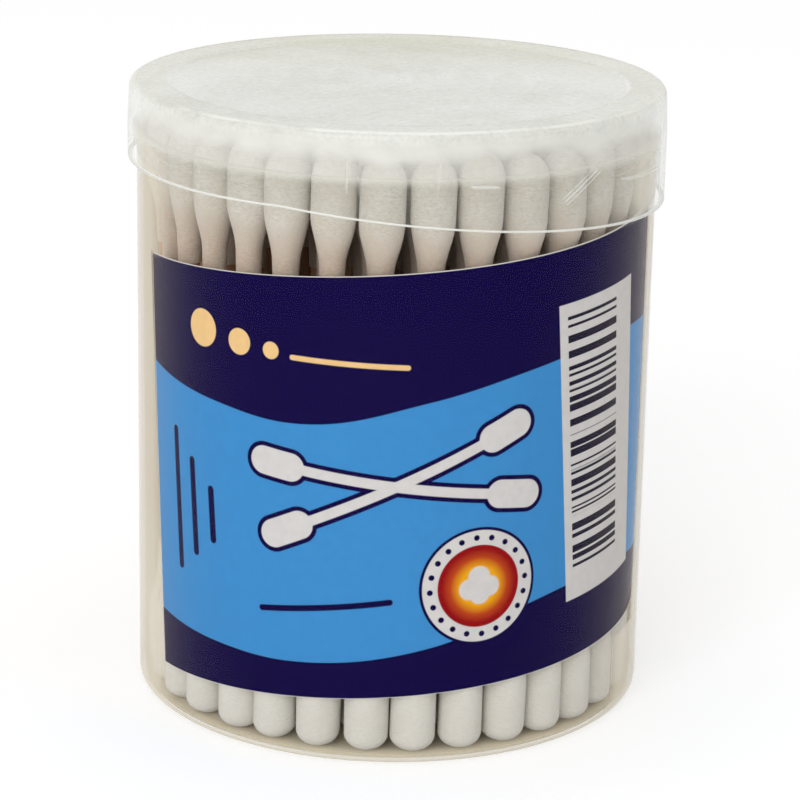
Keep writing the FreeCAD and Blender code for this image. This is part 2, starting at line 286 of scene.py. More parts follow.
def lid_profile(lid):
    """Half section of the lid, from its ledge up, and of the skirt, from its edge up; 1 marks the skirt."""
    outside = lid.skirt_inside + lid.wall
    side_top = outside - lid.draft
    lean = math.degrees(math.atan2(lid.draft, lid.top - lid.ledge_height))
    reach = 0.3 * MM
    upper = add_supports(np.vstack((
        [(0, lid.underside)],
        arc((lid.ledge_radius - lid.inner_shoulder, lid.underside - lid.inner_shoulder),
            lid.inner_shoulder, 90, 0),
        [(lid.ledge_radius, lid.ledge_height)],
        [(lid.skirt_inside, lid.ledge_height)],
        [(lid.skirt_inside, lid.ledge_height - reach)],
    )) - (0, lid.ledge_height), reach)
    skirt = np.vstack((
        [(lid.skirt_inside, lid.edge_round + reach)],
        arc((lid.skirt_inside + lid.edge_round, lid.edge_round), lid.edge_round, 180, 270, 4),
        arc((outside - lid.edge_round, lid.edge_round), lid.edge_round, 270, 360, 4),
        [(outside, lid.edge_round + reach)],
    ))
    side = add_supports(np.vstack((
        [(outside, lid.ledge_height - reach)],
        [(outside, lid.ledge_height)],
        arc((side_top - lid.shoulder, lid.top - lid.shoulder), lid.shoulder, lean, 90, 9),
        [(lid.panel_radius + lid.panel_depth, lid.top)],
        [(lid.panel_radius, lid.top - lid.panel_depth)],
        [(0, lid.top - lid.panel_depth)],
    )) - (0, lid.ledge_height), reach)
    profile = np.vstack((upper, skirt, side))
    follow = np.concatenate((np.zeros(len(upper)), np.ones(len(skirt)), np.zeros(len(side))))
    return np.column_stack((profile, follow))


def lid_rings(lid, columns):
    """Rings of the lid: z + ledge height, and z + edge height on the skirt, where the edge falls with x."""
    profile = lid_profile(lid)
    rings = wheel(profile, columns)
    outside = lid.skirt_inside + lid.wall
    fall = (lid.short_edge - lid.long_edge) / (outside + lid.slant_start)
    edge = lid.short_edge - fall * np.maximum(rings[..., 0] + lid.slant_start, 0)
    follow = profile[:, 2:3]
    rings[..., 2] += lid.ledge_height + follow * (edge - lid.ledge_height)
    return rings


def label_sheet(label, columns, rows):
    """Both faces of the bent card: a place s on it, turned by its tilt, goes round the axis by s / r."""
    along = np.linspace(-0.5, 0.5, columns) * label.width
    rise = np.linspace(-0.5, 0.5, rows)[:, None] * label.height
    turned = along * math.cos(label.tilt) - rise * math.sin(label.tilt)
    height = label.middle + along * math.sin(label.tilt) + rise * math.cos(label.tilt)
    round_tub = turned / label.radius + label.turn - 0.5 * math.pi
    plan = np.stack(np.broadcast_arrays(along, rise), axis=-1) / MM
    faces = []
    for radius, side in ((label.radius, 1), (label.radius - label.thickness, 0)):
        place = np.stack((radius * np.cos(round_tub), radius * np.sin(round_tub), height), axis=-1)
        face = np.concatenate((place, plan, np.full(height.shape + (1,), side)), axis=-1)
        faces.append(face.reshape(-1, 6))
    front = np.arange(rows * columns).reshape(rows, columns)
    back = front + rows * columns
    strips = (
        (front[:-1, :-1], front[:-1, 1:], front[1:, 1:], front[1:, :-1]),
        (back[:-1, :-1], back[1:, :-1], back[1:, 1:], back[:-1, 1:]),
        (front[-1, :-1], front[-1, 1:], back[-1, 1:], back[-1, :-1]),
        (back[0, :-1], back[0, 1:], front[0, 1:], front[0, :-1]),
        (back[:-1, 0], front[:-1, 0], front[1:, 0], back[1:, 0]),
        (front[:-1, -1], back[:-1, -1], back[1:, -1], front[1:, -1]),
    )
    quads = np.vstack([np.stack(strip, axis=-1).reshape(-1, 4) for strip in strips])
    return np.vstack(faces), quads


def tip_profile(swab, dome_length, rows):
    """Half section of a tip, free end down: a blunt dome, a full part, a smooth step and a sleeve."""
    blunt = 0.92
    dome = np.linspace(0, 0.5 * np.pi, max(4, rows // 3))
    taper_end = swab.tip_length - swab.sleeve
    height = np.linspace(swab.full_part, taper_end, rows - len(dome))
    step = (height - swab.full_part) / (taper_end - swab.full_part)
    width = swab.tip_radius + (swab.neck_radius - swab.tip_radius) * step ** 2 * (3 - 2 * step)
    return np.vstack((
        np.column_stack((swab.tip_radius * np.sin(dome) ** blunt, dome_length * (1 - np.cos(dome)))),
        np.column_stack((width, height)),
        [(swab.neck_radius * blunt, swab.tip_length), (0, swab.tip_length)],
    ))


def tip_rings(swab, dome_length, count, rows, columns, rng):
    """Rings of tips: radius x fullness x (1 + sum of a sin(n t + m z + p)), with seeded fullness and p."""
    rings = np.repeat(wheel(tip_profile(swab, dome_length, rows), columns)[None], count, axis=0)
    turn = np.linspace(0, 2 * np.pi, columns, endpoint=False)
    height = rings[..., 2] / swab.tip_length
    phases = rng.uniform(0, 2 * np.pi, (len(TIP_WAVES), count, 1, 1))
    bulge = 1.0
    for (depth, waves, gain), phase in zip(TIP_WAVES, phases):
        bulge = bulge + depth * np.sin(waves * turn + gain * height + phase)
    full = 0.955 + 0.045 * rng.random((count, 1, 1))
    rings[..., :2] *= (bulge * full)[..., None]
    return rings


def swab_meshes(swab, stand, rows, columns, seed):
    """Cotton and stick shells of swabs that stand at a radius and an angle, each with its own lean."""
    rng = np.random.default_rng(seed)
    count = len(stand)
    whole = swab.length - swab.shorter * rng.random((count, 1, 1))
    lower = tip_rings(swab, swab.flat_dome, count, rows, columns, rng)
    upper = tip_rings(swab, swab.dome, count, rows, columns, rng)[:, ::-1]
    upper[..., 2] = whole - upper[..., 2]
    buried = 0.7 * swab.tip_length
    rod = np.array([(0, 0), (1, 0), (1, 0.25), (1, 0.5), (1, 0.75), (1, 1), (0, 1)])
    stick = wheel(rod * (swab.stick_radius, 1), max(8, columns // 2))
    stick = np.repeat(stick[None], count, axis=0)
    stick[..., 2] = buried + stick[..., 2] * (whole - 2 * buried)
    own = rng.uniform(-0.5, 0.5, (count, 3))
    stray = rng.uniform(-swab.wander, swab.wander, (2, count))
    turns = stand[:, 1] + np.array([(-swab.lower_lean,), (swab.upper_lean,)]) + stray
    ends = stand[:, :1] * np.stack((np.cos(turns), np.sin(turns)), axis=-1)
    foot, head = ends[:, :, None, None]
    layers = []
    for rings in (lower, upper, stick):
        marked = np.concatenate((rings, rings + own[:, None, None]), axis=-1)
        marked[..., :2] += foot + (head - foot) * rings[..., 2:3] / swab.length
        marked[..., 2] += swab.foot
        layers.append(shells(marked))
    return layers


def put(name, data):
    """New object in the scene."""
    new = bpy.data.objects.new(name, data)
    bpy.context.scene.collection.objects.link(new)
    return new


def add_mesh(name, layers, materials, channel=None):
    """Object from layers of (points, face arrays, material number); point columns 3 to 5 fill the channel."""
    points = np.vstack([layer[0] for layer in layers])
    faces, slots, start = [], [], 0
    for columns, arrays, number in layers:
        for array in arrays:
            faces += (array + start).tolist()
            slots += [number] * len(array)
        start += len(columns)
    mesh = bpy.data.meshes.new(name)
    mesh.from_pydata(points[:, :3].tolist(), [], faces)
    if channel:
        attribute = mesh.attributes.new(channel, "FLOAT_VECTOR", "POINT")
        attribute.data.foreach_set("vector", points[:, 3:].ravel())
    for material in materials:
        mesh.materials.append(material)
    mesh.polygons.foreach_set("material_index", slots)
    mesh.shade_smooth()
    mesh.set_sharp_from_angle(angle=math.radians(50))
    mesh.update()
    return put(name, mesh)


# Shader nodes

def connect(tree, target, inputs):
    """Set inputs of a node, or link them from outputs."""
    for socket, source in inputs.items():
        if isinstance(source, bpy.types.NodeSocket):
            tree.links.new(source, target.inputs[socket])
        else:
            target.inputs[socket].default_value = source


def node(tree, kind, inputs=None, **settings):
    """New node of a kind with its settings and inputs."""
    new = tree.nodes.new(kind)
    for key, setting in settings.items():
        setattr(new, key, setting)
    connect(tree, new, inputs or {})
    return new


def maths(tree, operation, *values, clamp=False):
    """Output of a Math node."""
    inputs = dict(enumerate(values))
    return node(tree, "ShaderNodeMath", inputs, operation=operation, use_clamp=clamp).outputs[0]


def plus(tree, first, *others):
    """Sum of values and outputs."""
    for other in others:
        first = maths(tree, "ADD", first, other)
    return first


def minus(tree, whole, part):
    """Difference of two values or outputs."""
    return maths(tree, "SUBTRACT", whole, part)


def times(tree, first, *others):
    """Product of values and outputs."""
    for other in others:
        first = maths(tree, "MULTIPLY", first, other)
    return first


def larger(tree, one, other):
    """Larger of two values or outputs."""
    return maths(tree, "MAXIMUM", one, other)


def vectors(tree, operation, *values, output="Vector"):
    """Output of a Vector Math node."""
    return node(tree, "ShaderNodeVectorMath", dict(enumerate(values)), operation=operation).outputs[output]


def axes(tree, vector):
    """X, Y and Z outputs of a vector."""
    return node(tree, "ShaderNodeSeparateXYZ", {0: vector}).outputs


def length_of(tree, vector):
    """Length of a vector."""
    return vectors(tree, "LENGTH", vector, output="Value")


def flat(tree, vector):
    """Vector with its Z at zero."""
    return vectors(tree, "MULTIPLY", vector, (1, 1, 0))


def turned_by(tree, vector, turn):
    """Vector turned about Z."""
    return node(tree, "ShaderNodeVectorRotate", {"Vector": vector, "Angle": turn},
                rotation_type="Z_AXIS").outputs[0]


def as_colour(source):
    """Colour with full alpha, or the output it comes from."""
    return source if isinstance(source, bpy.types.NodeSocket) else (*source, 1.0)


def blend(tree, mask, under, over, **settings):
    """Colour under, covered by the colour over where the mask is 1."""
    inputs = {0: mask, 6: as_colour(under), 7: as_colour(over)}
    return node(tree, "ShaderNodeMix", inputs, data_type="RGBA", **settings).outputs[2]


def remap(tree, source, low, high, new_low=0.0, new_high=1.0, smooth=False):
    """Output of a Map Range node."""
    kind = "SMOOTHSTEP" if smooth else "LINEAR"
    inputs = {0: source, 1: low, 2: high, 3: new_low, 4: new_high}
    return node(tree, "ShaderNodeMapRange", inputs, interpolation_type=kind).outputs[0]


def noise(tree, place, scale, detail, **inputs):
    """Value of a Noise Texture node."""
    given = {"Vector": place, "Scale": scale, "Detail": detail, **inputs}
    return node(tree, "ShaderNodeTexNoise", given).outputs[0]


def bump(tree, height, strength, distance):
    """Normal from a height, with the distance in metres."""
    inputs = {"Height": height, "Strength": strength, "Distance": distance}
    return node(tree, "ShaderNodeBump", inputs).outputs[0]


def tinted(colour_value, *tints):
    """Colour with each part times its tint."""
    return tuple(part * tint for part, tint in zip(colour_value, tints))


def object_place(tree):
    """Place on the piece, in metres."""
    return node(tree, "ShaderNodeTexCoord").outputs["Object"]


def own_attribute(tree, name):
    """Vector attribute of the piece."""
    return node(tree, "ShaderNodeAttribute", attribute_name=name, attribute_type="GEOMETRY").outputs["Vector"]


def slant(tree):
    """How far a surface turns away from the eye: 0 straight on, 1 edge-on."""
    return node(tree, "ShaderNodeLayerWeight", {"Blend": 0.5}).outputs["Facing"]


def new_group(name, inputs, outputs):
    """Empty shader group: inputs with their first values, value outputs, and the two end nodes."""
    tree = bpy.data.node_groups.new(name, "ShaderNodeTree")
    for label, first in inputs.items():
        kind = "NodeSocketVector" if isinstance(first, tuple) else "NodeSocketFloat"
        tree.interface.new_socket(label, in_out="INPUT", socket_type=kind).default_value = first
    for label in outputs:
        tree.interface.new_socket(label, in_out="OUTPUT", socket_type="NodeSocketFloat")
    return tree, node(tree, "NodeGroupInput").outputs, node(tree, "NodeGroupOutput")


def shape_group():
    """Mask of a rounded box on a flat plan, with its turn, half sizes, corner radius and softness."""
    if "plan_shape" in bpy.data.node_groups:
        return bpy.data.node_groups["plan_shape"]
    tree, given, result = new_group("plan_shape", {
        "Plan": (0, 0, 0), "Centre": (0, 0, 0), "Turn": 0.0, "Half Width": 1.0, "Half Height": 1.0,
        "Corner": 0.0, "Softness": 0.06,
    }, ("Mask",))
    moved = vectors(tree, "SUBTRACT", given["Plan"], given["Centre"])
    turned = turned_by(tree, moved, times(tree, given["Turn"], -1))
    parts = axes(tree, vectors(tree, "ABSOLUTE", turned))
    out_x = plus(tree, minus(tree, parts["X"], given["Half Width"]), given["Corner"])
    out_y = plus(tree, minus(tree, parts["Y"], given["Half Height"]), given["Corner"])
    beyond = node(tree, "ShaderNodeCombineXYZ", {0: larger(tree, out_x, 0), 1: larger(tree, out_y, 0)})
    inside = maths(tree, "MINIMUM", larger(tree, out_x, out_y), 0)
    distance = minus(tree, plus(tree, length_of(tree, beyond.outputs[0]), inside), given["Corner"])
    mask = remap(tree, distance, given["Softness"], times(tree, given["Softness"], -1))
    tree.links.new(mask, result.inputs["Mask"])
    return tree


def plan_shape(tree, plan, centre, half_width, half_height, corner=0.0, turn=0.0, softness=0.06):
    """Mask of one rounded box on the plan, in millimetres and degrees."""
    inputs = {
        "Plan": plan, "Centre": (*centre, 0), "Turn": math.radians(turn), "Half Width": half_width,
        "Half Height": half_height, "Corner": corner, "Softness": softness,
    }
    return node(tree, "ShaderNodeGroup", inputs, node_tree=shape_group()).outputs["Mask"]


def disc(tree, plan, centre, radius, softness=0.06):
    """Mask of a disc on the plan."""
    return plan_shape(tree, plan, centre, radius, radius, radius, softness=softness)


def bar(tree, plan, centre, half_length, half_width, turn=0.0, softness=0.06):
    """Mask of a bar with round ends on the plan."""
    return plan_shape(tree, plan, centre, half_length, half_width, half_width, turn, softness)


def moulded_group():
    """Uneven polish of moulded plastic: a slow value from low to high, and a fine height for the bump."""
    if "moulded_skin" in bpy.data.node_groups:
        return bpy.data.node_groups["moulded_skin"]
    inputs = {"Place": (0, 0, 0), "Low": 0.0, "High": 1.0}
    tree, given, result = new_group("moulded_skin", inputs, ("Value", "Height"))
    patches = noise(tree, given["Place"], 120.0, 3.0)
    value = remap(tree, patches, 0.35, 0.65, given["Low"], given["High"], smooth=True)
    tree.links.new(value, result.inputs["Value"])
    tree.links.new(noise(tree, given["Place"], 2400.0, 1.0), result.inputs["Height"])
    return tree


def moulded_skin(tree, place, low, high):
    """Roughness between low and high, and a fine height, of moulded plastic."""
    inputs = {"Place": place, "Low": low, "High": high}
    skin = node(tree, "ShaderNodeGroup", inputs, node_tree=moulded_group())
    return skin.outputs["Value"], skin.outputs["Height"]


def new_material(name):
    """Material with only its Principled shader and output."""
    material = bpy.data.materials.new(name)
    material.use_nodes = True
    tree = material.node_tree
    return material, tree, tree.nodes["Principled BSDF"]


def let_light_in(tree, alpha, part):
    """Alpha, less this part of it for light on its way in, which the plastic passes on."""
    seen = node(tree, "ShaderNodeLightPath").outputs
    passing = larger(tree, seen["Is Shadow Ray"], seen["Is Diffuse Ray"])
    return times(tree, alpha, minus(tree, 1.0, times(tree, passing, part)))


def looked_at(tree):
    """1 for what the camera sees, also in gloss or through glass, and 0 for what lights the scene."""
    seen = node(tree, "ShaderNodeLightPath").outputs
    mirrored = larger(tree, seen["Is Glossy Ray"], seen["Is Transmission Ray"])
    return larger(tree, seen["Is Camera Ray"], mirrored)


# Plastic

PLASTIC_IOR = 1.49
TUB_PASSES, LID_PASSES = 0.8, 0.5

# Haze of the clear wall: the slants between which it comes in, none at first, and how much it hides then
EDGE_HAZE = (0.77, 0.83, 0.0, 0.62)
# Past the label's ends the haze is painted light: the cream stands in for the swabs there, lit through the
# bare wall.
PAINTED_LIGHT_PAST_LABEL = (0.52, 0.70, 0.0, 0.65)
FAR_HAZE = (0.45, 0.68, 0.0, 0.72)

# Scratches on the side of the lid: centre round it and up, half length, half width, turn in degrees
SCRATCHES = (
    ((23.3, 69.9), 2.85, 0.10, 32), ((23.7, 69.55), 3.1, 0.09, 32), ((10.4, 70.8), 1.7, 0.10, -3),
    ((33.8, 69.2), 2.45, 0.10, -4), ((39.9, 69.0), 3.6, 0.07, -3), ((-5.6, 71.9), 1.9, 0.02, 88),
    ((-4.3, 71.8), 1.7, 0.01, 92), ((4.9, 71.6), 2.1, 0.01, 86),
)


def past_label(tree, label, parts):
    """Mask of the wall that has no label behind it, seen from the front, where the wall carries painted
    light.
    """
    round_tub = maths(tree, "ARCTAN2", parts["X"], times(tree, parts["Y"], -1))
    across = times(tree, minus(tree, round_tub, label.turn), label.radius)
    rise = minus(tree, parts["Z"], label.middle)
    slope = math.tan(label.tilt)
    along = maths(tree, "ABSOLUTE", plus(tree, across, times(tree, rise, slope)))
    up = maths(tree, "ABSOLUTE", minus(tree, rise, times(tree, across, slope)))
    end, edge = 0.5 * label.width - 2.3 * MM, 0.5 * label.height + 0.1 * MM
    return larger(tree, remap(tree, along, end, end + 0.4 * MM), remap(tree, up, edge, edge + 0.8 * MM))


def clear_wall(settings):
    """Clear tub plastic: nearly unseen straight on, cream at its edges and in its base; past the label's ends
    a cream haze is painted light.
    """
    tub, finish = settings.tub, settings.finish
    material, tree, shader = new_material("clear_wall")
    place = object_place(tree)
    parts = axes(tree, place)
    height = parts["Z"]
    facing = slant(tree)
    soft = times(tree, maths(tree, "POWER", facing, 4.0), 0.29)
    inner = maths(tree, "LESS_THAN", length_of(tree, flat(tree, place)), tub.radius - 0.5 * tub.wall)
    edge_on = remap(tree, facing, *EDGE_HAZE, smooth=True)
    # Painted light: cream haze past the label's ends stands in for the swabs lit through the bare wall.
    bare = times(tree, past_label(tree, settings.label, parts), remap(tree, facing, *PAINTED_LIGHT_PAST_LABEL, smooth=True))
    near = times(tree, minus(tree, 1.0, inner), larger(tree, edge_on, bare))
    front = minus(tree, 1.0, node(tree, "ShaderNodeNewGeometry").outputs["Backfacing"])
    far = times(tree, front, inner, remap(tree, facing, *FAR_HAZE, smooth=True))
    base = remap(tree, height, tub.floor + 1.7 * MM, tub.floor - 0.05 * MM, 0.0, 0.5, smooth=True)
    rim = remap(tree, height, tub.rim_height - 0.7 * MM, tub.rim_height - 0.1 * MM, 0.0, 0.12, smooth=True)
    haze = maths(tree, "ADD", plus(tree, soft, near, far, base, rim), finish.tub_haze, clamp=True)
    connect(tree, shader, {
        "Base Color": (*finish.tub, 1), "Roughness": moulded_skin(tree, place, 0.06, 0.16)[0],
        "IOR": PLASTIC_IOR, "Alpha": let_light_in(tree, haze, TUB_PASSES),
    })
    return material


def milky_lid(settings):
    """Frosted lid: cloudy top and shoulder, a clearer skirt with a pale cut edge that is partly a painted
    highlight, painted highlight lines on the crest and the panel step, painted shade towards the back, fine
    scratches.
    """
    lid, finish = settings.lid, settings.finish
    material, tree, shader = new_material("milky_lid")
    place = object_place(tree)
    round_lid = own_attribute(tree, "round_lid_mm")
    parts = axes(tree, place)
    height, out = parts["Z"], length_of(tree, flat(tree, place))
    grazing = times(tree, maths(tree, "POWER", slant(tree), 4.0), 0.5)
    clouds = noise(tree, place, 110.0, 2.5)
    uneven_height = plus(tree, height, remap(tree, clouds, 0.3, 0.7, -1.0 * MM, 1.0 * MM))
    side = remap(tree, height, lid.ledge_height - 1.1 * MM, lid.ledge_height + 0.3 * MM, finish.skirt_haze,
                 finish.shoulder_haze, smooth=True)
    top = remap(tree, uneven_height, lid.underside - 2.7 * MM, lid.underside - 0.7 * MM, 0.0,
                finish.lid_haze - finish.shoulder_haze, smooth=True)
    rim = lid.skirt_inside + lid.wall - lid.draft - lid.shoulder
    # Painted highlights: broken pale lines along the crest of the shoulder and along the step of the sunken
    # panel.
    crest_highlight = times(tree, remap(tree, out, rim, rim + 0.15 * MM),
                  remap(tree, height, lid.top - 0.3 * MM, lid.top - 0.15 * MM))
    step = times(tree, remap(tree, out, lid.panel_radius - 0.15 * MM, lid.panel_radius),
                 remap(tree, out, lid.panel_radius + 0.5 * MM, lid.panel_radius + 0.3 * MM),
                 remap(tree, height, lid.top - 0.6 * MM, lid.top - 0.4 * MM))
    breaks = remap(tree, noise(tree, place, 90.0, 2.0), 0.42, 0.6)
    # lines holds these painted highlights, broken by the noise above.
    lines = times(tree, plus(tree, times(tree, crest_highlight, 0.7), times(tree, step, 0.5)), breaks)
    marks = 0.0
    for centre, half_length, half_width, turn in SCRATCHES:
        marks = larger(tree, marks, bar(tree, round_lid, centre, half_length, half_width, turn, 0.08))
    above = remap(tree, height, lid.underside - 0.7 * MM, lid.underside + 0.3 * MM)
    grain = remap(tree, noise(tree, place, 1500.0, 2.0), 0.3, 0.7, -0.07, 0.07)
    uneven = plus(tree, remap(tree, clouds, 0.35, 0.65, -0.07, 0.06), grain)
    body = plus(tree, grazing, side, top, times(tree, marks, 0.38), lines, times(tree, uneven, above))
    # The cut edge of the skirt is nearly opaque white: partly the edge of the milky plastic, partly a painted
    # highlight.
    edge = times(tree, axes(tree, round_lid)["Z"], 0.85)
    haze = larger(tree, maths(tree, "MINIMUM", body, 1.0), edge)
    # Painted shade: duller and greyer round the top and towards the back of the lid, most at the back.
    band = times(tree, remap(tree, out, lid.panel_radius + 0.2 * MM, lid.panel_radius + 0.5 * MM),
                 remap(tree, height, lid.top - 0.4 * MM, lid.top - 0.2 * MM),
                 remap(tree, parts["Y"], -32.0 * MM, 32.0 * MM, 0.1, 1.0))
    painted_back_shade = larger(tree, band, remap(tree, parts["Y"], 4.0 * MM, 29.0 * MM))
    roughness, fine = moulded_skin(tree, place, 0.24, 0.36)
    connect(tree, shader, {
        "Base Color": blend(tree, painted_back_shade, finish.lid, finish.lid_painted_shade), "Roughness": roughness,
        "IOR": PLASTIC_IOR, "Alpha": let_light_in(tree, haze, LID_PASSES),
        "Normal": bump(tree, fine, 0.04, 0.04 * MM),
    })
    return material


# Print, in millimetres from the middle of the card

UPPER_WAVE = ((-44, 12.7), (-30, 9.9), (-17, 8.2), (-2, 10.4), (12, 12.5), (25, 13.0), (44, 9.9))
LOWER_WAVE = ((-44, -18.7), (-32, -20.4), (-20, -21.4), (-4, -20.0), (10, -16.6), (22, -16.4), (34, -18.4),
              (44, -21.0))
DOTS = (((-31.5, 18.6), 2.3), ((-25.6, 17.6), 1.6), ((-21.2, 16.9), 1.05))
UPRIGHT_BARS = ((-38.2, -3.4, 9.0), (-34.9, -3.9, 6.2), (-31.6, -4.4, 3.6))
BADGE = (2.3, -13.07)
TUFT = ((-1.2, -0.25, 1.35), (1.25, -0.2, 1.3), (0.05, 1.1, 1.4), (0.0, -1.05, 1.25))
SWAB_CROSSING = (-7.0, 0.4)
SWAB_TURNS = (-11, 21)
OUTLINE = 0.55
EMBER_GLOW = (0.52, 0.06, 0.012)
STRIPE_INK = (0.012, 0.010, 0.03)


def wave(tree, along, points):
    """Height of a printed edge along the label, read from a curve on a field of 88 by 52 mm."""
    half_width, half_height = 44.0, 26.0
    curve = node(tree, "ShaderNodeFloatCurve", {"Value": remap(tree, along, -half_width, half_width)})
    line = curve.mapping.curves[0]
    spots = [(0.5 + across / half_width / 2, 0.5 + up / half_height / 2) for across, up in points]
    line.points[0].location = spots[0]
    line.points[-1].location = spots[-1]
    for spot in spots[1:-1]:
        line.points.new(*spot)
    curve.mapping.update()
    return remap(tree, curve.outputs[0], 0.0, 1.0, -half_height, half_height)


def crossed_swabs(tree, plan, paint, finish):
    """Two slanting swabs, white with a navy outline, that cross in the middle of the blue band."""
    for outline, tint in ((OUTLINE, finish.navy), (0.0, finish.white)):
        for turn in SWAB_TURNS:
            ahead = np.array((math.cos(math.radians(turn)), math.sin(math.radians(turn))))
            stick = bar(tree, plan, SWAB_CROSSING, 15.5 + outline, 0.62 + outline, turn)
            paint = blend(tree, stick, paint, tint)
            for end in (-14.6, 14.6):
                tip = bar(tree, plan, SWAB_CROSSING + end * ahead, 3.5 + outline, 1.75 + outline, turn)
                paint = blend(tree, tip, paint, tint)
    return paint


def badge(tree, plan, paint, finish):
    """Round badge: navy outline, white ring with a circle of dots, a glowing disc and a tuft of cotton."""
    paint = blend(tree, disc(tree, plan, BADGE, 7.37), paint, finish.navy)
    paint = blend(tree, disc(tree, plan, BADGE, 7.0), paint, finish.white)
    moved = vectors(tree, "SUBTRACT", plan, (*BADGE, 0))
    parts = axes(tree, moved)
    step = 2 * math.pi / 20
    turn = maths(tree, "ARCTAN2", parts["Y"], parts["X"])
    nearest = times(tree, maths(tree, "ROUND", maths(tree, "DIVIDE", turn, step)), -step)
    paint = blend(tree, disc(tree, turned_by(tree, moved, nearest), (6.08, 0), 0.36), paint, finish.navy)
    glowing = 5.15
    reach = remap(tree, length_of(tree, flat(tree, moved)), 0.0, glowing)
    fade = node(tree, "ShaderNodeValToRGB", {0: reach})
    stops = fade.color_ramp.elements
    stops[0].position, stops[0].color = 0.46, (*finish.glow, 1)
    stops[1].position, stops[1].color = 0.9, (*finish.ember, 1)
    stops.new(0.7).color = (*EMBER_GLOW, 1)
    paint = blend(tree, disc(tree, plan, BADGE, glowing), paint, fade.outputs[0])
    for across, up, radius in TUFT:
        puff = disc(tree, plan, (BADGE[0] + across, BADGE[1] + up), radius, 0.12)
        paint = blend(tree, puff, paint, finish.white)
    return paint


def striped_panel(tree, plan, up, paint, finish):
    """White panel with dark bars of uneven widths that run along the label."""
    paint = blend(tree, plan_shape(tree, plan, (22.3, 0.4), 7.6, 18.8), paint, finish.white)
    uneven = node(tree, "ShaderNodeTexNoise", {"W": times(tree, up, 1.05), "Scale": 1.0, "Detail": 0.6},
                  noise_dimensions="1D")
    lines = remap(tree, uneven.outputs[0], 0.497, 0.515)
    field = plan_shape(tree, plan, (20.8, 1.4), 4.8, 16.6)
    return blend(tree, times(tree, lines, field), paint, STRIPE_INK)


def printed_card(settings):
    """Label: navy and blue fields with plain shapes on coated card, bare card on the back and the edges."""
    finish = settings.finish
    material, tree, shader = new_material("printed_card")
    card_plan = own_attribute(tree, "label_plan_mm")
    parts = axes(tree, card_plan)
    up = parts["Y"]
    plan = flat(tree, card_plan)
    below_upper = remap(tree, minus(tree, wave(tree, parts["X"], UPPER_WAVE), up), -0.06, 0.06)
    above_lower = remap(tree, minus(tree, up, wave(tree, parts["X"], LOWER_WAVE)), -0.06, 0.06)
    paint = blend(tree, times(tree, below_upper, above_lower), finish.navy, finish.blue)
    for centre, radius in DOTS:
        paint = blend(tree, disc(tree, plan, centre, radius), paint, finish.cream)
    paint = blend(tree, bar(tree, plan, (-11.6, 15.5), 7.2, 0.32, -6), paint, finish.cream)
    for across, middle, half in UPRIGHT_BARS:
        paint = blend(tree, plan_shape(tree, plan, (across, middle), 0.5, half, 0.5), paint, finish.navy)
    paint = blend(tree, bar(tree, plan, (-16.6, -14.4), 8.4, 0.38, 4), paint, finish.navy)
    paint = crossed_swabs(tree, plan, paint, finish)
    paint = badge(tree, plan, paint, finish)
    paint = striped_panel(tree, plan, up, paint, finish)
    paint = blend(tree, plan_shape(tree, plan, (0, 0), 43.9, 25.85, softness=0.04), finish.card, paint)
    fibres = noise(tree, object_place(tree), 900.0, 3.0)
    tone = remap(tree, fibres, 0.3, 0.7, 0.93, 1.0)
    grey = node(tree, "ShaderNodeCombineColor", {0: tone, 1: tone, 2: tone}).outputs[0]
    toned = blend(tree, 1.0, paint, grey, blend_type="MULTIPLY")
    front = remap(tree, parts["Z"], 0.9, 1.0)
    connect(tree, shader, {
        "Base Color": blend(tree, front, finish.card, toned),
        "Roughness": remap(tree, front, 0.0, 1.0, 0.8, 0.45),
        "Specular IOR Level": 0.02, "Normal": bump(tree, fibres, 0.08, 0.04 * MM),
    })
    return material


# Swabs

def wound_cotton(settings):
    """Wound cotton: soft white with warm patches and turns of fibre; its thin part tinted by the stick and by
    painted shade, its lower tips painted lighter.
    """
    swab, finish = settings.swab, settings.finish
    material, tree, shader = new_material("wound_cotton")
    own = own_attribute(tree, "own_place")
    up = axes(tree, object_place(tree))["Z"]
    wound = node(tree, "ShaderNodeMapping", {"Vector": own, "Scale": (1, 1, 2.6)}).outputs[0]
    fibres = noise(tree, wound, 1900.0, 5.0, Roughness=0.75)
    patches = noise(tree, own, 300.0, 2.0)
    warm = tinted(finish.cotton, 0.90, 0.87, 0.82)
    tone = blend(tree, remap(tree, patches, 0.35, 0.7), finish.cotton, warm)
    from_middle = maths(tree, "ABSOLUTE", minus(tree, up, swab.foot + 0.5 * swab.length))
    # The tapered part takes the sleeve colour: partly the stick showing through thin cotton, partly painted
    # shade between the tips and under the lid.
    thin = remap(tree, from_middle, 30.0 * MM, 22.0 * MM, smooth=True)
    tone = blend(tree, times(tree, thin, 0.75), tone, finish.sleeve)
    tone = blend(tree, remap(tree, fibres, 0.56, 0.36), tone, tinted(finish.cotton, 0.80, 0.77, 0.72))
    # Painted light: the lower tips are made lighter and cooler than the upper ones, which stay as if in the
    # shade of the lid.
    lower = remap(tree, up, 20.0 * MM, 14.0 * MM, 0.0, 0.6)
    tone = blend(tree, lower, tone, tinted(finish.cotton, 1.07, 1.08, 1.11))
    connect(tree, shader, {
        "Base Color": tone, "Roughness": 0.95, "Sheen Weight": 0.25, "Sheen Roughness": 0.6,
        "Specular IOR Level": 0.2,
        "Normal": bump(tree, plus(tree, times(tree, fibres, 0.8), patches), 0.6, 0.4 * MM),
    })
    return material


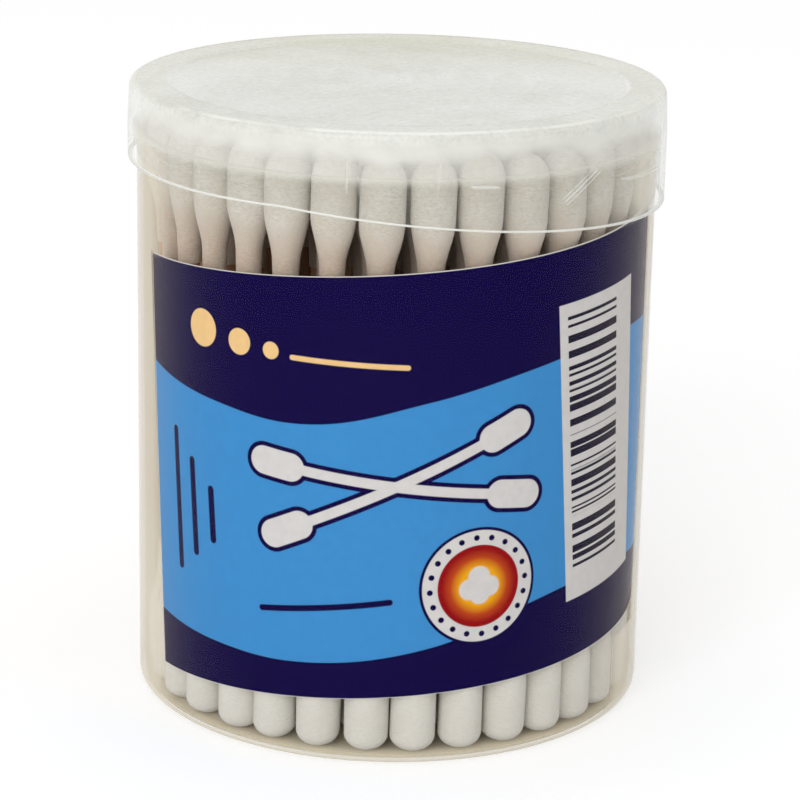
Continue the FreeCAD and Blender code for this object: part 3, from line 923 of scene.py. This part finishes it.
def plain_wood(settings):
    """Swab stick: pale wood with grain that runs along the stick."""
    finish = settings.finish
    material, tree, shader = new_material("plain_wood")
    own = own_attribute(tree, "own_place")
    stretched = node(tree, "ShaderNodeMapping", {"Vector": own, "Scale": (1, 1, 0.06)}).outputs[0]
    grain = noise(tree, stretched, 1500.0, 3.0)
    tone = blend(tree, remap(tree, grain, 0.35, 0.65), finish.wood, tinted(finish.wood, 0.68, 0.58, 0.50))
    connect(tree, shader, {"Base Color": tone, "Roughness": 0.7, "Normal": bump(tree, grain, 0.2, 0.1 * MM)})
    return material


def shared(name, maker, settings):
    """Material of this name, made once."""
    return bpy.data.materials.get(name) or maker(settings)


def stand_in(piece, body, slot, *nodes):
    """Seat a finished piece on its body in place of its plain nodes."""
    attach(piece, body)
    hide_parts(*nodes)


# Operators

class BuildTub(bpy.types.Operator):
    """Build the clear tub"""
    bl_idname = "swab_tub.build_tub"
    bl_label = "Tub"

    def execute(self, context):
        settings = context.scene.swab_tub
        points, quads, fans = shells(wheel(add_supports(tub_profile(settings.tub)), TUB_COLUMNS)[None])
        material = shared("clear_wall", clear_wall, settings)
        piece = add_mesh("clear_tub_shell", [(points, (quads, fans), 0)], [material])
        stand_in(piece, "root", "clear_tub", "tub_body")
        return {"FINISHED"}


class BuildLid(bpy.types.Operator):
    """Build the frosted lid"""
    bl_idname = "swab_tub.build_lid"
    bl_label = "Lid"

    def execute(self, context):
        settings = context.scene.swab_tub
        lid = settings.lid
        rings = lid_rings(lid, LID_COLUMNS)
        around = np.arctan2(rings[..., 0], -rings[..., 1]) * (lid.skirt_inside + lid.wall) / MM
        profile = lid_profile(lid)
        # Cut edge band of the skirt, which carries a painted highlight.
        cut_edge_highlight = (profile[:, 2:3] >= 1) & (profile[:, 1:2] < 0.6 * lid.edge_round)
        plan = np.stack((around, rings[..., 2] / MM, np.broadcast_to(cut_edge_highlight, around.shape)), axis=-1)
        points, quads, fans = shells(np.concatenate((rings, plan), axis=-1)[None])
        material = shared("milky_lid", milky_lid, settings)
        piece = add_mesh("frosted_lid_shell", [(points, (quads, fans), 0)], [material], "round_lid_mm")
        stand_in(piece, "lid", "frosted_lid", "lid")
        return {"FINISHED"}


class BuildLabel(bpy.types.Operator):
    """Build the printed label card"""
    bl_idname = "swab_tub.build_label"
    bl_label = "Label"

    def execute(self, context):
        settings = context.scene.swab_tub
        points, quads = label_sheet(settings.label, *LABEL_STEPS)
        material = shared("printed_card", printed_card, settings)
        piece = add_mesh("label_card_sheet", [(points, (quads,), 0)], [material], "label_plan_mm")
        stand_in(piece, "root", "label_card", "label_insert")
        return {"FINISHED"}


class BuildSwabs(bpy.types.Operator):
    """Build every swab of the pack"""
    bl_idname = "swab_tub.build_swabs"
    bl_label = "Swabs"

    def execute(self, context):
        settings = context.scene.swab_tub
        outer = sorted(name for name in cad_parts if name.startswith("swab_") and name[5:].isdigit())
        inner = sorted(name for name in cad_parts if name.startswith("swab_ring_"))
        low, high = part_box(outer[0])
        first = (low + high) / 2
        radius = math.hypot(first.x, first.y)
        start = math.atan2(first.y, first.x)
        for number, name in enumerate(outer):
            stand = np.array([(radius, start + number * 2 * math.pi / len(outer))])
            self.add(settings, name, stand, FRONT_TIP_STEPS, number)
        for ring, name in enumerate(inner, start=1):
            step = settings.swab.ring_step
            inner_radius = radius - ring * step
            count = math.floor(math.pi / math.asin(step / 2 / inner_radius))
            turn = start + np.arange(count) * 2 * np.pi / count
            stand = np.column_stack((np.full(count, inner_radius), turn))
            self.add(settings, name, stand, INNER_TIP_STEPS, len(outer) + ring)
        self.add(settings, "swab_centre", np.array([(0.0, start)]), INNER_TIP_STEPS, len(outer))
        return {"FINISHED"}

    def add(self, settings, name, stand, steps, number):
        """One piece for the swabs of one node."""
        lower, upper, stick = swab_meshes(settings.swab, stand, *steps, settings.swab.seed + number)
        layers = [(lower[0], lower[1:], 0), (upper[0], upper[1:], 0), (stick[0], stick[1:], 1)]
        materials = [shared("wound_cotton", wound_cotton, settings),
                     shared("plain_wood", plain_wood, settings)]
        piece = add_mesh(f"wound_{name}", layers, materials, "own_place")
        stand_in(piece, "root", "cotton", name)


class BuildStage(bpy.types.Operator):
    """Build the floor, the light and the camera"""
    bl_idname = "swab_tub.build_stage"
    bl_label = "Stage"

    def execute(self, context):
        stage = context.scene.swab_tub.stage
        self.floor()
        self.sky(stage)
        focus = Vector((0, 0, stage.target))
        self.lamp("key", *KEY_LAMP, focus, stage.key)
        self.lamp("window_left", *LEFT_WINDOW, focus, stage.window)
        self.lamp("window_right", *RIGHT_WINDOW, focus, stage.window)
        self.camera(stage, focus)
        context.scene.view_settings.view_transform = "Standard"
        return {"FINISHED"}

    def floor(self):
        """Wide pale floor that keeps the shadow and shows white to the camera, the gloss and the glass."""
        mesh = bpy.data.meshes.new("floor")
        mesh.from_pydata([(-4, -4, 0), (4, -4, 0), (4, 4, 0), (-4, 4, 0)], [], [(0, 1, 2, 3)])
        material, tree, shader = new_material("pale_floor")
        connect(tree, shader, {
            "Base Color": (0.86, 0.86, 0.86, 1), "Roughness": 0.9, "Specular IOR Level": 0.0,
            "Emission Color": (1, 1, 1, 1), "Emission Strength": times(tree, looked_at(tree), FLOOR_SHINE),
        })
        mesh.materials.append(material)
        put("floor", mesh)

    def sky(self, stage):
        """Even light from all round, shown as plain white."""
        world = bpy.data.worlds.new("plain_sky")
        world.use_nodes = True
        tree = world.node_tree
        strength = remap(tree, looked_at(tree), 0.0, 1.0, stage.sky, 1.0)
        connect(tree, tree.nodes["Background"], {"Color": (1, 1, 1, 1), "Strength": strength})
        bpy.context.scene.world = world

    def lamp(self, name, place, size, focus, power):
        """Rectangular area lamp that looks at the focus."""
        light = bpy.data.lights.new(name, "AREA")
        light.shape = "RECTANGLE"
        light.size, light.size_y = size
        light.energy = power
        lamp = put(name, light)
        lamp.location = place
        lamp.rotation_euler = (focus - Vector(place)).to_track_quat("-Z", "Y").to_euler()

    def camera(self, stage, focus):
        """Camera in front, looking down on the target, with a slight roll and shift."""
        view = bpy.data.cameras.new("camera")
        view.sensor_fit = "HORIZONTAL"
        view.sensor_width = 36
        view.lens = stage.lens
        view.shift_x = stage.shift_x
        view.shift_y = stage.shift_y
        view.clip_end = 20
        camera = put("camera", view)
        back = Vector((0, -math.cos(stage.elevation), math.sin(stage.elevation)))
        camera.location = focus + back * stage.distance
        aim = (-back).to_track_quat("-Z", "Y") @ Quaternion((0, 0, 1), stage.roll)
        camera.rotation_euler = aim.to_euler()
        bpy.context.scene.camera = camera


class SwabTubPanel(bpy.types.Panel):
    """Settings and build buttons of the swab tub"""
    bl_idname = "VIEW3D_PT_swab_tub"
    bl_label = "Swab Tub"
    bl_space_type = "VIEW_3D"
    bl_region_type = "UI"
    bl_category = "Swab Tub"

    def draw(self, context):
        settings = context.scene.swab_tub
        for part in ("tub", "lid", "label", "swab", "finish", "stage"):
            group = getattr(settings, part)
            box = self.layout.box()
            box.label(text=group.bl_rna.name)
            for key in group.bl_rna.properties.keys():
                if key not in ("rna_type", "name"):
                    box.prop(group, key)
        for operator in BUILDERS:
            self.layout.operator(operator.bl_idname)


BUILDERS = (BuildTub, BuildLid, BuildLabel, BuildSwabs, BuildStage)
CLASSES = (TubShape, LidShape, LabelShape, SwabShape, Finish, Stage, SwabTub, *BUILDERS, SwabTubPanel)


def register():
    """Register the classes and hang the settings on the scene."""
    for part in CLASSES:
        bpy.utils.register_class(part)
    bpy.types.Scene.swab_tub = bpy.props.PointerProperty(type=SwabTub)


def unregister():
    """Take the settings and classes away again."""
    del bpy.types.Scene.swab_tub
    for part in reversed(CLASSES):
        bpy.utils.unregister_class(part)


def main():
    """Build every piece and the stage."""
    register()
    bpy.ops.swab_tub.build_tub()
    bpy.ops.swab_tub.build_lid()
    bpy.ops.swab_tub.build_label()
    bpy.ops.swab_tub.build_swabs()
    bpy.ops.swab_tub.build_stage()


if __name__ == "__main__":
    main()
